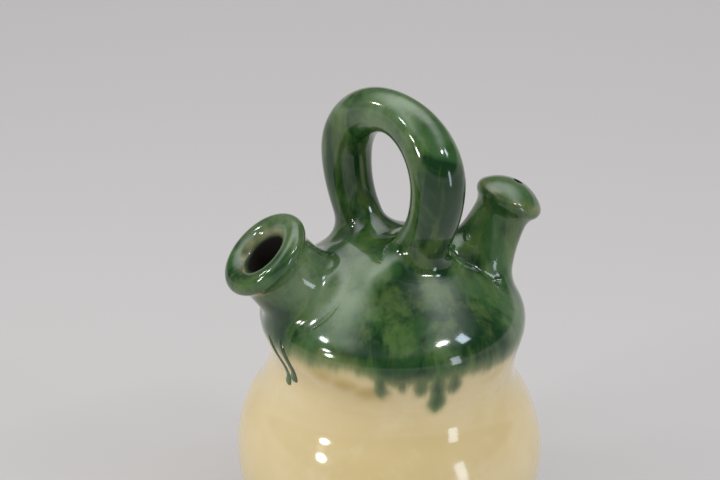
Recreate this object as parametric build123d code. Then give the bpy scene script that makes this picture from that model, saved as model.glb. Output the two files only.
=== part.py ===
from build123d import *
from math import cos, radians, sin, sqrt, tan
import os

os.makedirs("parts", exist_ok=True)

# A small glazed drinking jug with two bulges, thrown in two parts and joined at the waist. A filling mouth,
# a drinking spout and a ring handle are luted onto its dome, each with a coil of clay in the corner.
# The origin is the middle of the foot's underside. +Z runs up the throwing axis, the mouth points to -X and
# the spout to +X. Lengths are millimetres and angles are degrees.

# thrown wall and floor
wall = 5.0
floor_thickness = 7.5
overrun = 3.0
edge_round = 1.5
quarter = 90

# lower bulge
foot_radius = 40.0
heel_height = 4.0
globe_radius = 72.5
globe_height = 71.5
globe_upper_round = 51.5

# waist and upper bulge: the dome's straight flank and round cap stand over the shoulder
waist_round = 34.0
waist_coil_radius = 2.6
shoulder_radius = 61.8
shoulder_height = 140.8
shoulder_round = 13.0
flank_slope = 39.8
dome_height = 40.2
seam_bearing = 50.0

# filling mouth, its rim's centre out over the shoulder and up over the dome, its axis by aim and slope
mouth_overhang = 1.0
mouth_bearing = 181.0
mouth_height = 1.9
mouth_aim = 181.0
mouth_slope = 50.5
mouth_rim_radius = 21.5
mouth_roll_radius = 4.3
mouth_neck_radius = 18.0
mouth_throat_round = 9.0
mouth_flare_round = 75.0
mouth_lip_depth = 6.0
mouth_bore_radius = 10.0
mouth_bore_length = 16.0
mouth_bell_radius = 14.0
mouth_coil_round = 8.0

# drinking spout
spout_inset = 4.7
spout_bearing = -2.8
spout_height = 14.0
spout_aim = -2.8
spout_slope = 63.4
spout_rim_radius = 16.0
spout_roll_radius = 4.2
spout_neck_radius = 12.7
spout_throat_round = 9.0
spout_flare_round = 64.0
spout_lid_rise = 3.5
spout_hole_radius = 2.0
spout_hole_length = 5.0
spout_core_radius = 7.5
spout_bell_radius = 11.0
spout_coil_round = 8.0

# handle, a rolled bar bent into a ring: its feet start below the dome's top, its sides bulge over them
# and its crown stands over the sides
handle_bearing = -66.0
handle_set_back = 1.8
handle_foot_inset = 12.5
handle_foot_depth = 4.0
handle_half_width = 29.3
handle_side_height = 35.0
handle_crown_height = 26.5
handle_foot_radius = 11.6
handle_ankle_radius = 11.1
handle_side_radius = 12.4
handle_crown_radius = 9.2
handle_back_coil_round = 9.0
handle_front_coil_round = 9.0
ankle_share = 0.13
side_share = 0.31
crown_share = 0.5

# the film of slip that a coil is stuck down with
slip_film = 0.12

# raised runs of glaze below the mouth, each from a top to a drop, placed along the skin by a share of
# the way from the waist's arc to the shoulder's far end
run_top_bearings = (181.5, 193.5)
run_top_shares = (0.95, 0.9)
run_drop_bearings = (195.0, 202.5)
run_drop_shares = (0.37, 0.465)
run_radius = 2.2
run_drop_radius = 2.7
run_relief = 1.1
run_shares = (0, 1 / 4, 1 / 2, 3 / 4, 1)


def at(radius, height):
    return Vector(radius, 0, height)


def towards(centre, other, reach):
    return centre + (other - centre).normalized() * reach


def arc(centre, start, end):
    # the short way round the centre
    reach = (start - centre).length
    middle = ((start - centre) + (end - centre)).normalized() * reach
    return ThreePointArc(start, centre + middle, end)


def quarter_ellipse(centre, across, up, start):
    # a quarter of an ellipse that starts at its side or at its top
    middle = (centre.X, centre.Z)
    return Plane.XZ * EllipticalCenterArc(middle, across, up, start_angle=start, arc_size=quarter)


def crossing(first, first_radius, second, second_radius):
    # the outer of the two points that lie at both distances
    gap = second - first
    along = (first_radius**2 - second_radius**2 + gap.length**2) / (2 * gap.length)
    off = sqrt(first_radius**2 - along**2)
    across = Vector(gap.Z, 0, -gap.X).normalized() * off
    foot = towards(first, second, along)
    return max(foot + across, foot - across, key=lambda point: point.X)


def crown(edge, slope, top):
    # the circle centred on the axis that reaches the top and touches the flank running up from the edge
    tilt = radians(slope)
    radius = (edge.Z + edge.X * tan(tilt) - top) / (1 / cos(tilt) - 1)
    return at(0, top - radius), radius


def turned(edges):
    return revolve(make_face(edges), Axis.Z)


def swung(shape, bearing):
    return Rot(0, 0, bearing) * shape


# the circles that the body's outline runs along
dome_top = shoulder_height + dome_height
rise_to_belly = globe_height - heel_height
overhang = globe_radius - foot_radius
globe_lower_round = (overhang**2 + rise_to_belly**2) / (2 * overhang)
lower_centre = at(globe_radius - globe_lower_round, globe_height)
upper_centre = at(globe_radius - globe_upper_round, globe_height)
shoulder_centre = at(shoulder_radius - shoulder_round, shoulder_height)
waist_centre = crossing(
    upper_centre, globe_upper_round + waist_round, shoulder_centre, shoulder_round + waist_round
)
flank_normal = at(sin(radians(flank_slope)), cos(radians(flank_slope)))
dome_centre, dome_round = crown(shoulder_centre + flank_normal * shoulder_round, flank_slope, dome_top)
waist_radius = waist_centre.X - waist_round
waist_height = waist_centre.Z


def body_outline(inset, bottom):
    # from the bottom to the apex, at a depth below the outer skin
    lower, upper = globe_lower_round - inset, globe_upper_round - inset
    shoulder, dome = shoulder_round - inset, dome_round - inset
    start = at(lower_centre.X + sqrt(lower**2 - (globe_height - bottom) ** 2), bottom)
    belly = at(globe_radius - inset, globe_height)
    below_waist = towards(upper_centre, waist_centre, upper)
    above_waist = towards(shoulder_centre, waist_centre, shoulder)
    flank_foot = shoulder_centre + flank_normal * shoulder
    flank_head = dome_centre + flank_normal * dome
    apex = at(0, dome_top - inset)
    return start, apex, [
        arc(lower_centre, start, belly),
        arc(upper_centre, belly, below_waist),
        arc(waist_centre, below_waist, above_waist),
        arc(shoulder_centre, above_waist, flank_foot),
        Line(flank_foot, flank_head),
        arc(dome_centre, flank_head, apex),
    ]


def body_skin(film=0):
    # the whole body's outside as one full solid, or that solid under a film
    heel, apex, side = body_outline(-film, heel_height)
    toe = at(foot_radius - edge_round, 0)
    toe_centre = at(foot_radius - edge_round, edge_round)
    toe_top = at(foot_radius, edge_round)
    foot = [Line(at(0, 0), toe), arc(toe_centre, toe, toe_top), Line(toe_top, heel)]
    return swung(turned(foot + side + [Line(apex, at(0, 0))]), seam_bearing)


def body_hollow():
    start, apex, side = body_outline(wall, floor_thickness)
    return turned([Line(at(0, floor_thickness), start)] + side + [Line(apex, at(0, floor_thickness))])


def slab(bottom, top):
    # everything between two heights
    return Pos(0, 0, bottom) * Cylinder(
        globe_radius + overrun, top - bottom, align=(Align.CENTER, Align.CENTER, Align.MIN)
    )


def waist_ring():
    # a round coil in the seam, centred on the outer skin
    return Pos(0, 0, waist_height) * Torus(waist_radius, waist_coil_radius)


def tilted(reach, bearing, height, aim, slope):
    tip = Vector(reach, 0, dome_top + height).rotate(Axis.Z, bearing)
    axis = Vector(cos(radians(slope)), 0, sin(radians(slope))).rotate(Axis.Z, aim)
    side = Vector(0, 1, 0).rotate(Axis.Z, aim)
    return Plane(origin=tip, x_dir=side, z_dir=axis)


mouth_plane = tilted(shoulder_radius + mouth_overhang, mouth_bearing, mouth_height, mouth_aim, mouth_slope)
spout_plane = tilted(shoulder_radius - spout_inset, spout_bearing, spout_height, spout_aim, spout_slope)


def root_depth(plane):
    # how far down its axis a piece must run to pass right through the dome's wall
    away = dome_centre - plane.origin
    along = -away.dot(plane.z_dir)
    aside = sqrt(away.length**2 - along**2)
    return along - sqrt((dome_round - wall) ** 2 - aside**2) + overrun


def collar(rim, roll, neck, throat, flare, depth, rise):
    # outside of a turned neck: a lid, a rolled rim, a hollow throat and a slow flare down to its root
    roll_centre = at(rim - roll, -roll)
    throat_out = neck + throat - roll_centre.X
    throat_centre = at(neck + throat, roll_centre.Z - sqrt((throat + roll) ** 2 - throat_out**2))
    flare_centre = at(neck + flare, throat_centre.Z)
    crest = at(roll_centre.X, 0)
    rim_edge = at(rim, -roll)
    under = towards(roll_centre, throat_centre, roll)
    narrow = at(neck, throat_centre.Z)
    root = at(flare_centre.X - sqrt(flare**2 - (depth + throat_centre.Z) ** 2), -depth)
    lid_round = (crest.X**2 + rise**2) / (2 * rise) if rise else 0
    lid = arc(at(0, rise - lid_round), at(0, rise), crest) if rise else Line(at(0, 0), crest)
    outline = [
        lid,
        arc(roll_centre, crest, rim_edge),
        arc(roll_centre, rim_edge, under),
        arc(throat_centre, under, narrow),
        arc(flare_centre, narrow, root),
        Line(root, at(0, -depth)),
        Line(at(0, -depth), at(0, rise)),
    ]
    return turned(outline)


def mouth_outside(film=0):
    return mouth_plane * collar(
        mouth_rim_radius + film,
        mouth_roll_radius + film,
        mouth_neck_radius + film,
        mouth_throat_round - film,
        mouth_flare_round - film,
        root_depth(mouth_plane),
        0,
    )


def mouth_passage():
    # over the rolled rim's inner side, down the true bore and out through the pierced dome
    crest = at(mouth_rim_radius - mouth_roll_radius, 0)
    lip_centre = at(crest.X, -mouth_lip_depth)
    lip = quarter_ellipse(lip_centre, crest.X - mouth_bore_radius, mouth_lip_depth, quarter)
    brim = at(mouth_bore_radius, -mouth_lip_depth)
    throat = at(mouth_bore_radius, brim.Z - mouth_bore_length)
    bell = at(mouth_bell_radius, -root_depth(mouth_plane) - wall)
    outline = [
        Line(at(0, overrun), at(crest.X, overrun)),
        Line(at(crest.X, overrun), crest),
        lip,
        Line(brim, throat),
        Line(throat, bell),
        Line(bell, at(0, bell.Z)),
        Line(at(0, bell.Z), at(0, overrun)),
    ]
    return mouth_plane * turned(outline)


def spout_outside(film=0):
    return spout_plane * collar(
        spout_rim_radius + film,
        spout_roll_radius + film,
        spout_neck_radius + film,
        spout_throat_round - film,
        spout_flare_round - film,
        root_depth(spout_plane),
        spout_lid_rise,
    )


def spout_passage():
    top = at(spout_hole_radius, spout_lid_rise + overrun)
    end = at(spout_hole_radius, -spout_hole_length)
    core = at(spout_core_radius, end.Z - (spout_core_radius - spout_hole_radius))
    bell = at(spout_bell_radius, -root_depth(spout_plane) - wall)
    outline = [
        Line(at(0, top.Z), top),
        Line(top, end),
        Line(end, core),
        Line(core, bell),
        Line(bell, at(0, bell.Z)),
        Line(at(0, bell.Z), at(0, top.Z)),
    ]
    return spout_plane * turned(outline)


def handle_path():
    # legs bulging out from the dome, then half an ellipse over the top
    foot_height = dome_top - handle_foot_depth
    side_height = foot_height + handle_side_height
    bulge = handle_foot_inset
    leg_round = (handle_side_height**2 + bulge**2) / (2 * bulge)
    leg_centre = at(handle_half_width - leg_round, side_height)
    sunk = handle_side_height + wall + overrun
    foot = at(leg_centre.X + sqrt(leg_round**2 - sunk**2), side_height - sunk)
    side = at(handle_half_width, side_height)
    half = [
        arc(leg_centre, foot, side),
        quarter_ellipse(at(0, side_height), handle_half_width, handle_crown_height, 0),
    ]
    other = [edge.mirror(Plane.YZ) for edge in half]
    return Wire(half + other)


def handle_bar(film=0):
    path = handle_path()
    stations = [
        (0, handle_foot_radius),
        (ankle_share, handle_ankle_radius),
        (side_share, handle_side_radius),
        (crown_share, handle_crown_radius),
        (1 - side_share, handle_side_radius),
        (1 - ankle_share, handle_ankle_radius),
        (1, handle_foot_radius),
    ]
    rings = [
        Plane(origin=path @ share, x_dir=Vector(0, 1, 0), z_dir=path % share) * Circle(radius + film)
        for share, radius in stations
    ]
    return swung(Pos(-handle_set_back, 0, 0) * sweep(rings, path=path, multisection=True), handle_bearing)


def joint_edges(body, piece, joined):
    # the edges of the joined pair that lie on both
    skins = [body.faces(), piece.faces()]

    def on_both(edge):
        spot = edge @ (1 / 3)
        return all(min(face.distance_to(spot) for face in skin) < slip_film / 10 for skin in skins)

    return [edge for edge in joined.edges() if on_both(edge)]


def coil(outside, radius, side=Vector(0, 0, 0)):
    # the clay thumbed into the corner between the dome and a piece, on one side of the axis or all round
    body, piece = body_skin(), outside()
    joined = body + piece
    corner = [edge for edge in joint_edges(body, piece, joined) if (edge @ (1 / 2)).dot(side) >= 0]
    return fillet(corner, radius) - body_skin(slip_film) - outside(slip_film)


def glaze_run(top_bearing, top_share, drop_bearing, drop_share):
    # a bead of glaze that slid down the skin and froze in a drop, its middle line below the skin
    side = body_outline(run_radius - run_relief, heel_height)[2]
    line = Wire(side[2:4])
    spots = [
        (line @ (top_share + (drop_share - top_share) * share)).rotate(
            Axis.Z, top_bearing + (drop_bearing - top_bearing) * share
        )
        for share in run_shares
    ]
    path = Spline(*spots)
    run = sweep(Plane(origin=path @ 0, z_dir=path % 0) * Circle(run_radius), path=path)
    return run + Pos(spots[0]) * Sphere(run_radius) + Pos(spots[-1]) * Sphere(run_drop_radius)


def glaze_runs():
    runs = Part()
    for places in zip(run_top_bearings, run_top_shares, run_drop_bearings, run_drop_shares):
        runs += glaze_run(*places)
    return runs - body_skin() - mouth_outside()


skin = body_skin()
shell = skin - body_hollow()
bowl = shell & slab(-overrun, waist_height)
dome = shell & slab(waist_height, dome_top + overrun)
seam_coil = waist_ring()
front = Vector(1, 0, 0).rotate(Axis.Z, handle_bearing)
mouth_coil = coil(mouth_outside, mouth_coil_round)

nodes = {
    "lower_body": bowl - seam_coil,
    "upper_body": dome - seam_coil - mouth_passage() - spout_passage(),
    "waist_coil": seam_coil & shell,
    "filling_mouth": mouth_outside() - skin - mouth_passage(),
    "mouth_coil": mouth_coil,
    "drinking_spout": spout_outside() - skin - spout_passage(),
    "spout_coil": coil(spout_outside, spout_coil_round),
    "handle": handle_bar() - skin,
    "handle_front_coil": coil(handle_bar, handle_front_coil_round, front),
    "handle_back_coil": coil(handle_bar, handle_back_coil_round, -front),
    "glaze_runs": glaze_runs() - mouth_coil,
}

for name, solid in nodes.items():
    export_step(solid, f"parts/{name}.step")
    print(name, len(solid.solids()), round(solid.volume / 1000, 1), "cm3")
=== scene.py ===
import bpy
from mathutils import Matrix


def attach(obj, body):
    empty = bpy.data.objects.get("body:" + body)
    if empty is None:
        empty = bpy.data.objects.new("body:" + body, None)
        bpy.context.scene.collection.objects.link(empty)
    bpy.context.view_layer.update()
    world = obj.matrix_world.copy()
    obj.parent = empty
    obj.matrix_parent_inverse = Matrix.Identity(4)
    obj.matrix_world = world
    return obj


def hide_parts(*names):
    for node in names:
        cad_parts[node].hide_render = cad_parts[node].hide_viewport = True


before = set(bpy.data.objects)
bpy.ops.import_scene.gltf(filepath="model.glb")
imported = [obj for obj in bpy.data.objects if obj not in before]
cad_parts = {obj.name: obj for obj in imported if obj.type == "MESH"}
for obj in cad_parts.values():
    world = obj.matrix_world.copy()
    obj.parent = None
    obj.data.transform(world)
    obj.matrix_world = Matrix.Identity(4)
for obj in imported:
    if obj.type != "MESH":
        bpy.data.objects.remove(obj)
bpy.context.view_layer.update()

import bpy
import numpy as np
from mathutils import Matrix, Vector

# A glazed water jug, thrown in two bulges, with a filling mouth, a drinking spout and a ring handle.
# Shapes are worked out in millimetres in the CAD model's frame and put into the meshes in metres.
millimetre = 0.001
creaseAngle = 50.0
tau = 2 * np.pi
upward = np.array([0, 0, 1.0])
scene = bpy.context.scene


# Lines and grids that every piece uses.

def arcPoints(centre, start, end, step=0.25):
    # centre plus radius times (cos a, sin a), a running evenly from the start's angle to the end's
    centre, start, end = (np.asarray(p, float) for p in (centre, start, end))
    first = np.arctan2(*(start - centre)[::-1])
    turn = (np.arctan2(*(end - centre)[::-1]) - first + np.pi) % tau - np.pi
    reach = np.hypot(*(start - centre))
    count = max(int(abs(turn) * reach / step), 2)
    angles = first + turn * np.linspace(0, 1, count + 1)[:, None]
    return centre + reach * np.hstack([np.cos(angles), np.sin(angles)])


def evenly(points, count, softness=0.0):
    # the polyline walked at even steps, then averaged with its neighbours by a bell curve of that reach
    step = 0.2
    points = np.vstack([points[:1], points[1:][np.hypot(*np.diff(points, axis=0).T) > 1e-6]])
    walked = np.r_[0, np.cumsum(np.hypot(*np.diff(points, axis=0).T))]
    fine = np.linspace(0, walked[-1], max(int(walked[-1] / step), 8))
    path = np.stack([np.interp(fine, walked, points[:, k]) for k in (0, 1)], 1)
    if softness:
        reach = int(np.ceil(3 * softness / step))
        weights = np.exp(-0.5 * (np.arange(-reach, reach + 1) * step / softness) ** 2)
        weights /= weights.sum()
        ahead = 2 * path[0] - path[reach:0:-1]
        behind = 2 * path[-1] - path[-2:-reach - 2:-1]
        padded = np.vstack([ahead, path, behind])
        path = np.stack([np.convolve(padded[:, k], weights, "valid") for k in (0, 1)], 1)
    picks = np.linspace(0, len(path) - 1, count)
    return np.stack([np.interp(picks, np.arange(len(path)), path[:, k]) for k in (0, 1)], 1)


def stepBetween(low, high, value):
    # 0 below low, 1 above high and a smooth S between
    share = np.clip((value - low) / (high - low), 0, 1)
    return share * share * (3 - 2 * share)


def toward(start, other, reach):
    # the point that lies that far from the start on the way to the other
    start, other = np.asarray(start, float), np.asarray(other, float)
    return start + (other - start) * reach / np.hypot(*(other - start))


def turnedGrid(profile, columns):
    # each profile point (radius, height) carried round the axis: radius cos a, radius sin a, height
    angles = np.arange(columns) * tau / columns
    radius, height = profile[..., 0], profile[..., 1]
    if profile.ndim == 2:
        radius, height = radius[:, None], np.repeat(height[:, None], columns, 1)
    return np.stack([radius * np.cos(angles), radius * np.sin(angles), height + 0 * angles], -1)


def gridFaces(rows, columns, closedRows=False, firstPole=False, lastPole=False):
    # the quads between neighbouring points of a grid whose columns run right round
    index = np.arange(rows * columns).reshape(rows, columns)
    if firstPole:
        index[0] = index[0, 0]
    if lastPole:
        index[-1] = index[-1, 0]
    below, above = (index, np.roll(index, -1, 0)) if closedRows else (index[:-1], index[1:])
    quads = [below, np.roll(below, -1, 1), np.roll(above, -1, 1), above]
    return np.stack(quads, -1).reshape(-1, 4)


def volumeOf(points, faces):
    # each quad is two triangles, and a triangle adds a sixth of its corners' triple product
    corners = points[faces]
    triple = lambda a, b, c: np.einsum("ij,ij->", corners[:, a], np.cross(corners[:, b], corners[:, c]))
    return (triple(0, 1, 2) + triple(0, 2, 3)) / 6


# The hand that made it: what a thrower's hands leave uneven, bent through all the pieces alike.
lumps = {"seed": 11, "count": 7, "push": 0.34, "shortest": 55.0, "longest": 130.0, "flatBelow": 30.0}
lean = {"push": 1.2, "bearing": -19.0, "low": 110.0, "middle": 126.0, "high": 150.0}
swell = {
    "push": 1.3, "height": 159.5, "reach": 9.0, "bearing": 252.0, "spread": 52.0, "up": 0.77, "out": 0.64,
    "inner": 15.0, "outer": 30.0,
}
touches = {
    "centre": [0, 0, 123.0],
    # both ends of a stretch, its reach and how far the clay is pushed out there
    "stretches": [
        [[26.5, -14.0, 173.5], [42.0, -20.5, 160.5], 2.7, -2.8],
        [[22.0, -18.5, 175.0], [40.0, -26.5, 161.5], 4.0, 0.6],
        [[-3.0, -21.0, 178.0], [-17.0, -25.0, 172.0], 7.5, 1.9],
        [[-12.0, 8.0, 180.5], [-21.0, 2.0, 177.0], 6.0, 1.2],
        [[48.0, -10.0, 158.0], [51.0, -11.0, 172.0], 8.0, 1.4],
        [[64.0, -22.0, 92.0], [60.0, -20.0, 108.0], 16.0, -1.2],
    ],
}


def nearness(points, first, last, reach):
    # the bell curve of the distance to the stretch between two points
    first, last = np.asarray(first, float), np.asarray(last, float)
    along = last - first
    share = np.clip((points - first) @ along / (along @ along), 0, 1)
    away = np.linalg.norm(points - first - share[..., None] * along, axis=-1)
    return np.exp(-(away / reach) ** 2)


def handmade(points):
    # the point plus a few long sine waves in every direction, a lean of the upper bulge, a swell of the
    # dome's front and a few touches
    dice = np.random.default_rng(lumps["seed"])
    moved = points.copy()
    height = points[..., 2]
    lifted = stepBetween(0, lumps["flatBelow"], height)[..., None]
    for _ in range(lumps["count"]):
        heading = dice.normal(size=3)
        heading /= np.linalg.norm(heading)
        length = dice.uniform(lumps["shortest"], lumps["longest"])
        push = dice.normal(size=3) * lumps["push"] / np.sqrt(lumps["count"])
        wave = np.sin(points @ heading * tau / length + dice.uniform(0, tau))
        moved += wave[..., None] * push * lifted
    bearing = np.radians(lean["bearing"])
    share = stepBetween(lean["low"], lean["middle"], height)
    share = share * (1 - stepBetween(lean["middle"], lean["high"], height))
    moved[..., 0] += lean["push"] * share * np.cos(bearing)
    moved[..., 1] += lean["push"] * share * np.sin(bearing)
    aside = np.linalg.norm(points[..., :2], axis=-1)
    heading = points[..., :2] / np.maximum(aside, 1)[..., None]
    turn = np.radians(swell["bearing"])
    off = np.degrees(np.arccos(np.clip(heading @ [np.cos(turn), np.sin(turn)], -1, 1)))
    share = np.exp(-((height - swell["height"]) / swell["reach"]) ** 2 - (off / swell["spread"]) ** 4)
    share *= swell["push"] * stepBetween(swell["inner"], swell["outer"], aside)
    moved[..., :2] += swell["out"] * share[..., None] * heading
    moved[..., 2] += swell["up"] * share
    outward = points - touches["centre"]
    outward /= np.maximum(np.linalg.norm(outward, axis=-1, keepdims=True), 1)
    for first, last, reach, push in touches["stretches"]:
        moved += push * nearness(points, first, last, reach)[..., None] * outward
    return moved


# Where the glazes lie, as shares that the glaze materials read.
glaze = {
    # bearing, height and softness of the green glaze's lower edge, round the jug
    "bearings": [180, 193, 200, 208, 216, 224, 233, 239, 243, 247, 262, 276, 283, 292,
                 305, 322, 340, 356, 372, 390, 410, 428, 446, 462, 480, 500, 520, 540],
    "heights": [140, 139, 140, 142.5, 143, 144.5, 145, 143, 140.5, 139, 138.5, 138.5, 139.5, 138,
                136.5, 138, 140, 138, 136, 139, 138, 140, 137, 139, 141, 137, 139, 140],
    "fades": [5, 6, 8, 10, 10, 9.5, 9, 8, 7, 6.5, 6.5, 6.5, 7.5, 8,
              8, 8, 8, 8, 8, 8, 8, 8, 8, 8, 8, 8, 7, 5],
    # bearing, lowest height, half width in degrees and strength of each drip
    "drips": [[245.5, 127.0, 3.0, 0.75], [254.5, 131.0, 2.4, 0.6], [262.0, 127.5, 3.4, 0.7],
              [269.5, 118.5, 3.7, 0.85], [276.5, 127.0, 3.4, 0.75], [318, 127, 2.8, 0.75],
              [331, 123, 2.6, 0.75], [352, 129, 2.2, 0.6], [381, 121, 2.8, 0.85], [398, 128, 2.4, 0.6],
              [418, 125, 2.6, 0.75], [446, 130, 2.4, 0.6], [458, 120, 2.7, 0.85], [490, 127, 2.5, 0.7],
              [511, 124, 2.6, 0.75]],
    # how much a drip's width wavers and how often, and how softly its lower end fades
    "waver": (0.15, 0.6), "dripEnd": (2, 7),
    # bearing, height, half width in degrees, half height and strength of the ochre stains
    "stains": [[220.0, 136.5, 7.0, 4.0, 0.8], [230.0, 134.5, 7.0, 4.2, 0.95], [239.5, 131.5, 6.5, 4.2, 1.0],
               [300.0, 130.0, 7.0, 2.5, 0.35],
               [436.0, 131.0, 10.0, 3.5, 0.8], [502.0, 131.0, 8.0, 3.0, 0.6]],
    # middle, reach and share of milkiness with a painted sheen, below nought where the glaze pooled deep and
    # clear with a painted dark reflection
    "clouds": [
        [[-34, -22, 165], 16, 0.9], [[-21, -15, 175], 9, 0.7], [[22, -31, 166], 11, 0.4],
        [[46, -37, 148], 12, 0.6], [[-5, -38, 166], 8, -0.9], [[26, -50, 152], 13, -1.1],
        [[-56, -15, 151], 11, -0.6], [[4, -24, 176], 9, -1.1], [[-14, -58, 146], 16, -0.5],
        [[10, -31, 190], 11, -0.9], [[-12, 24, 207], 19, -1.6], [[0, 0, 247], 17, 0.7],
        [[57, -3, 197], 11, 0.7], [[-48, 0, 197], 12, 0.6], [[-72, -8, 172], 12, -0.5],
        [[40, -3, 172], 9, -0.5], [[34, -17, 167], 4.5, -1.2], [[11, -27, 212], 13, -0.6],
        [[-14, 34, 222], 10, -0.6], [[-9, -37, 167], 9, -1.3], [[14, -4, 180], 9, -1.0],
        [[-47, -8, 163], 9, -0.8], [[-60, -3, 147], 10, -0.7], [[-14, -27, 173], 6, 0.7],
        [[10, 52, 155], 16, 0.8], [[-30, 45, 155], 14, -0.8], [[45, 30, 158], 14, -0.7],
    ],
}


def aroundJug(points):
    # bearing from 180 to 540 degrees, so that the back is its seam, and height
    bearing = np.degrees(np.arctan2(points[..., 1], points[..., 0])) % 360
    return np.where(bearing < 180, bearing + 360, bearing), points[..., 2]


def greenShare(points):
    # 1 well above the green glaze's lower edge, 0 well below it, and the drips that ran down from it
    bearing, height = aroundJug(points)
    edge, fade = (np.interp(bearing, glaze["bearings"], glaze[k]) for k in ("heights", "fades"))
    share = stepBetween(-1, 1, (height - edge) / fade)
    (much, often), (below, above) = glaze["waver"], glaze["dripEnd"]
    for middle, low, wide, strength in glaze["drips"]:
        run = np.exp(-((bearing - middle) / wide) ** 2 * (1 + much * np.sin(height * often + middle)))
        kept = stepBetween(low - below, low + above, height) * (height < edge + fade)
        share = np.maximum(share, strength * run * kept)
    return share


def ochreShare(points):
    # the strongest of the oval stains, each a bell curve across and up
    bearing, height = aroundJug(points)
    share = 0 * height
    for middle, level, wide, tall, strength in glaze["stains"]:
        stain = np.exp(-((bearing - middle) / wide) ** 2 - ((height - level) / tall) ** 2)
        share = np.maximum(share, strength * stain)
    return share


def milkAndReflectionShare(points):
    # the sum of the clouds, each a bell curve of the distance to its middle: milkiness with a painted sheen,
    # below nought deep pools with a painted dark reflection
    return sum(amount * np.exp(-(np.linalg.norm(points - np.array(middle), axis=-1) / reach) ** 2)
               for middle, reach, amount in glaze["clouds"])


def makePiece(name, points, faces, material, slot, node, **masks):
    # the grid as a mesh with its glaze shares; a quad that a pole pinches becomes a triangle
    points = np.asarray(points, float).reshape(-1, 3)
    if volumeOf(points, faces) < 0:
        faces = faces[:, ::-1]
    used, faces = np.unique(faces, return_inverse=True)
    faces = faces.reshape(-1, 4)
    points = points[used]
    kept = faces != np.roll(faces, -1, 1)
    kept[kept.sum(1) < 3] = False
    sizes = kept.sum(1)
    corners = faces[kept]
    sizes = sizes[sizes > 0]
    mesh = bpy.data.meshes.new(name)
    mesh.vertices.add(len(points))
    mesh.vertices.foreach_set("co", (handmade(points) * millimetre).astype(np.float32).ravel())
    mesh.loops.add(len(corners))
    mesh.loops.foreach_set("vertex_index", corners.astype(np.int32))
    mesh.polygons.add(len(sizes))
    mesh.polygons.foreach_set("loop_start", np.r_[0, np.cumsum(sizes)[:-1]].astype(np.int32))
    mesh.update(calc_edges=True)
    mesh.validate()
    mesh.polygons.foreach_set("use_smooth", np.ones(len(mesh.polygons), bool))
    mesh.set_sharp_from_angle(angle=np.radians(creaseAngle))
    # the clouds' share paints milkiness with a painted sheen, and below nought deep pools with a painted dark
    # reflection
    shares = {"green": greenShare(points), "ochre": ochreShare(points), "milk_and_reflection": milkAndReflectionShare(points)}
    if "green" in masks:
        shares["green"] = np.ravel(masks["green"])[used]
    for title in ("thin", "inside"):
        shares[title] = np.ravel(masks[title])[used] if title in masks else np.zeros(len(points))
    for title, values in shares.items():
        layer = mesh.attributes.new(title, "FLOAT", "POINT")
        layer.data.foreach_set("value", values.astype(np.float32))
    mesh.materials.append(material)
    piece = bpy.data.objects.new(name, mesh)
    scene.collection.objects.link(piece)
    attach(piece, "root")
    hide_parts(node)
    print(name, len(mesh.polygons), "faces")
    return piece


# The glazes' colours, their noises and how much each of them shows.
green = {
    # deep also serves as painted dark reflection, and the milky colour as milky glaze with a painted sheen
    "deep": (0.004, 0.030, 0.006), "mid": (0.028, 0.088, 0.020), "pale": (0.13, 0.20, 0.055),
    "milkySheen": (0.15, 0.215, 0.115), "tan": (0.24, 0.215, 0.105), "olive": (0.20, 0.22, 0.085),
}
cream = {
    "mid": (0.640, 0.520, 0.295), "warm": (0.58, 0.455, 0.225), "cool": (0.66, 0.575, 0.375),
    # inside is near black: painted shade inside the bores
    "ochre": (0.42, 0.29, 0.075), "speck": (0.20, 0.09, 0.035), "inside": (0.010, 0.008, 0.006),
}
noises = {
    # scale, detail, roughness and warp
    "streaks": (170, 3, 0.6), "pools": (46, 3, 0.55, 0.7), "runs": (95, 4, 0.6, 0.3),
    "clouds": (24, 4, 0.55, 0.6), "fine": (210, 4, 0.6), "breaks": (130, 3), "warm": (20, 3, 0.5),
    "cool": (55, 4, 0.6), "rare": (80, 2), "stained": (150, 3, 0.6),
    "gloss": (35, 3), "swell": (40, 2, 0.4), "ripple": (150, 3, 0.5),
}
levels = {
    # the two values of a noise or a share between which it comes in
    "pools": (0.40, 0.62), "runs": (0.44, 0.66), "clouds": (0.46, 0.70), "fine": (0.48, 0.72),
    "breaks": (0.32, 0.58), "warm": (0.35, 0.7), "cool": (0.5, 0.75), "rare": (0.58, 0.66),
    "wash": (-0.05, 0.55), "cover": (0.15, 1.0),
}
amounts = {
    # the clouds' share and the milky colour's weight set the painted sheen as well as the milkiness
    "runs": 0.4, "clouds": 0.5, "milk_and_reflection": 0.75, "milkySheen": 0.9, "fine": 0.3, "cool": 0.5, "specks": 0.7,
    "ripple": 0.10, "dotScale": 150.0, "dotSize": 0.06, "insideRoughness": 0.6, "fallen": (1, 1, 0.2),
    # what a noise is multiplied by and what is added
    "ragged": (2.6, -1.3), "stained": (0.8, 0.5), "gloss": (0.08, 0.06),
}
finish = {"ior": 1.54, "coat": 0.2, "coatRoughness": 0.02, "bump": 0.4, "bumpHeight": 0.0006}


def node(tree, kind, inputs=None, **settings):
    made = tree.nodes.new(kind)
    for key, value in settings.items():
        setattr(made, key, value)
    for key, value in (inputs or {}).items():
        socket = made.inputs[key]
        if isinstance(value, bpy.types.NodeSocket):
            tree.links.new(value, socket)
        else:
            socket.default_value = value
    return made


def noiseAt(tree, where, scale, detail=3.0, roughness=0.5, distortion=0.0):
    inputs = {"Vector": where, "Scale": scale, "Detail": detail, "Roughness": roughness,
              "Distortion": distortion}
    return node(tree, "ShaderNodeTexNoise", inputs).outputs["Fac"]


def between(tree, value, low, high):
    return node(tree, "ShaderNodeMapRange", {"Value": value, "From Min": low, "From Max": high},
                interpolation_type="SMOOTHSTEP").outputs["Result"]


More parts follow.
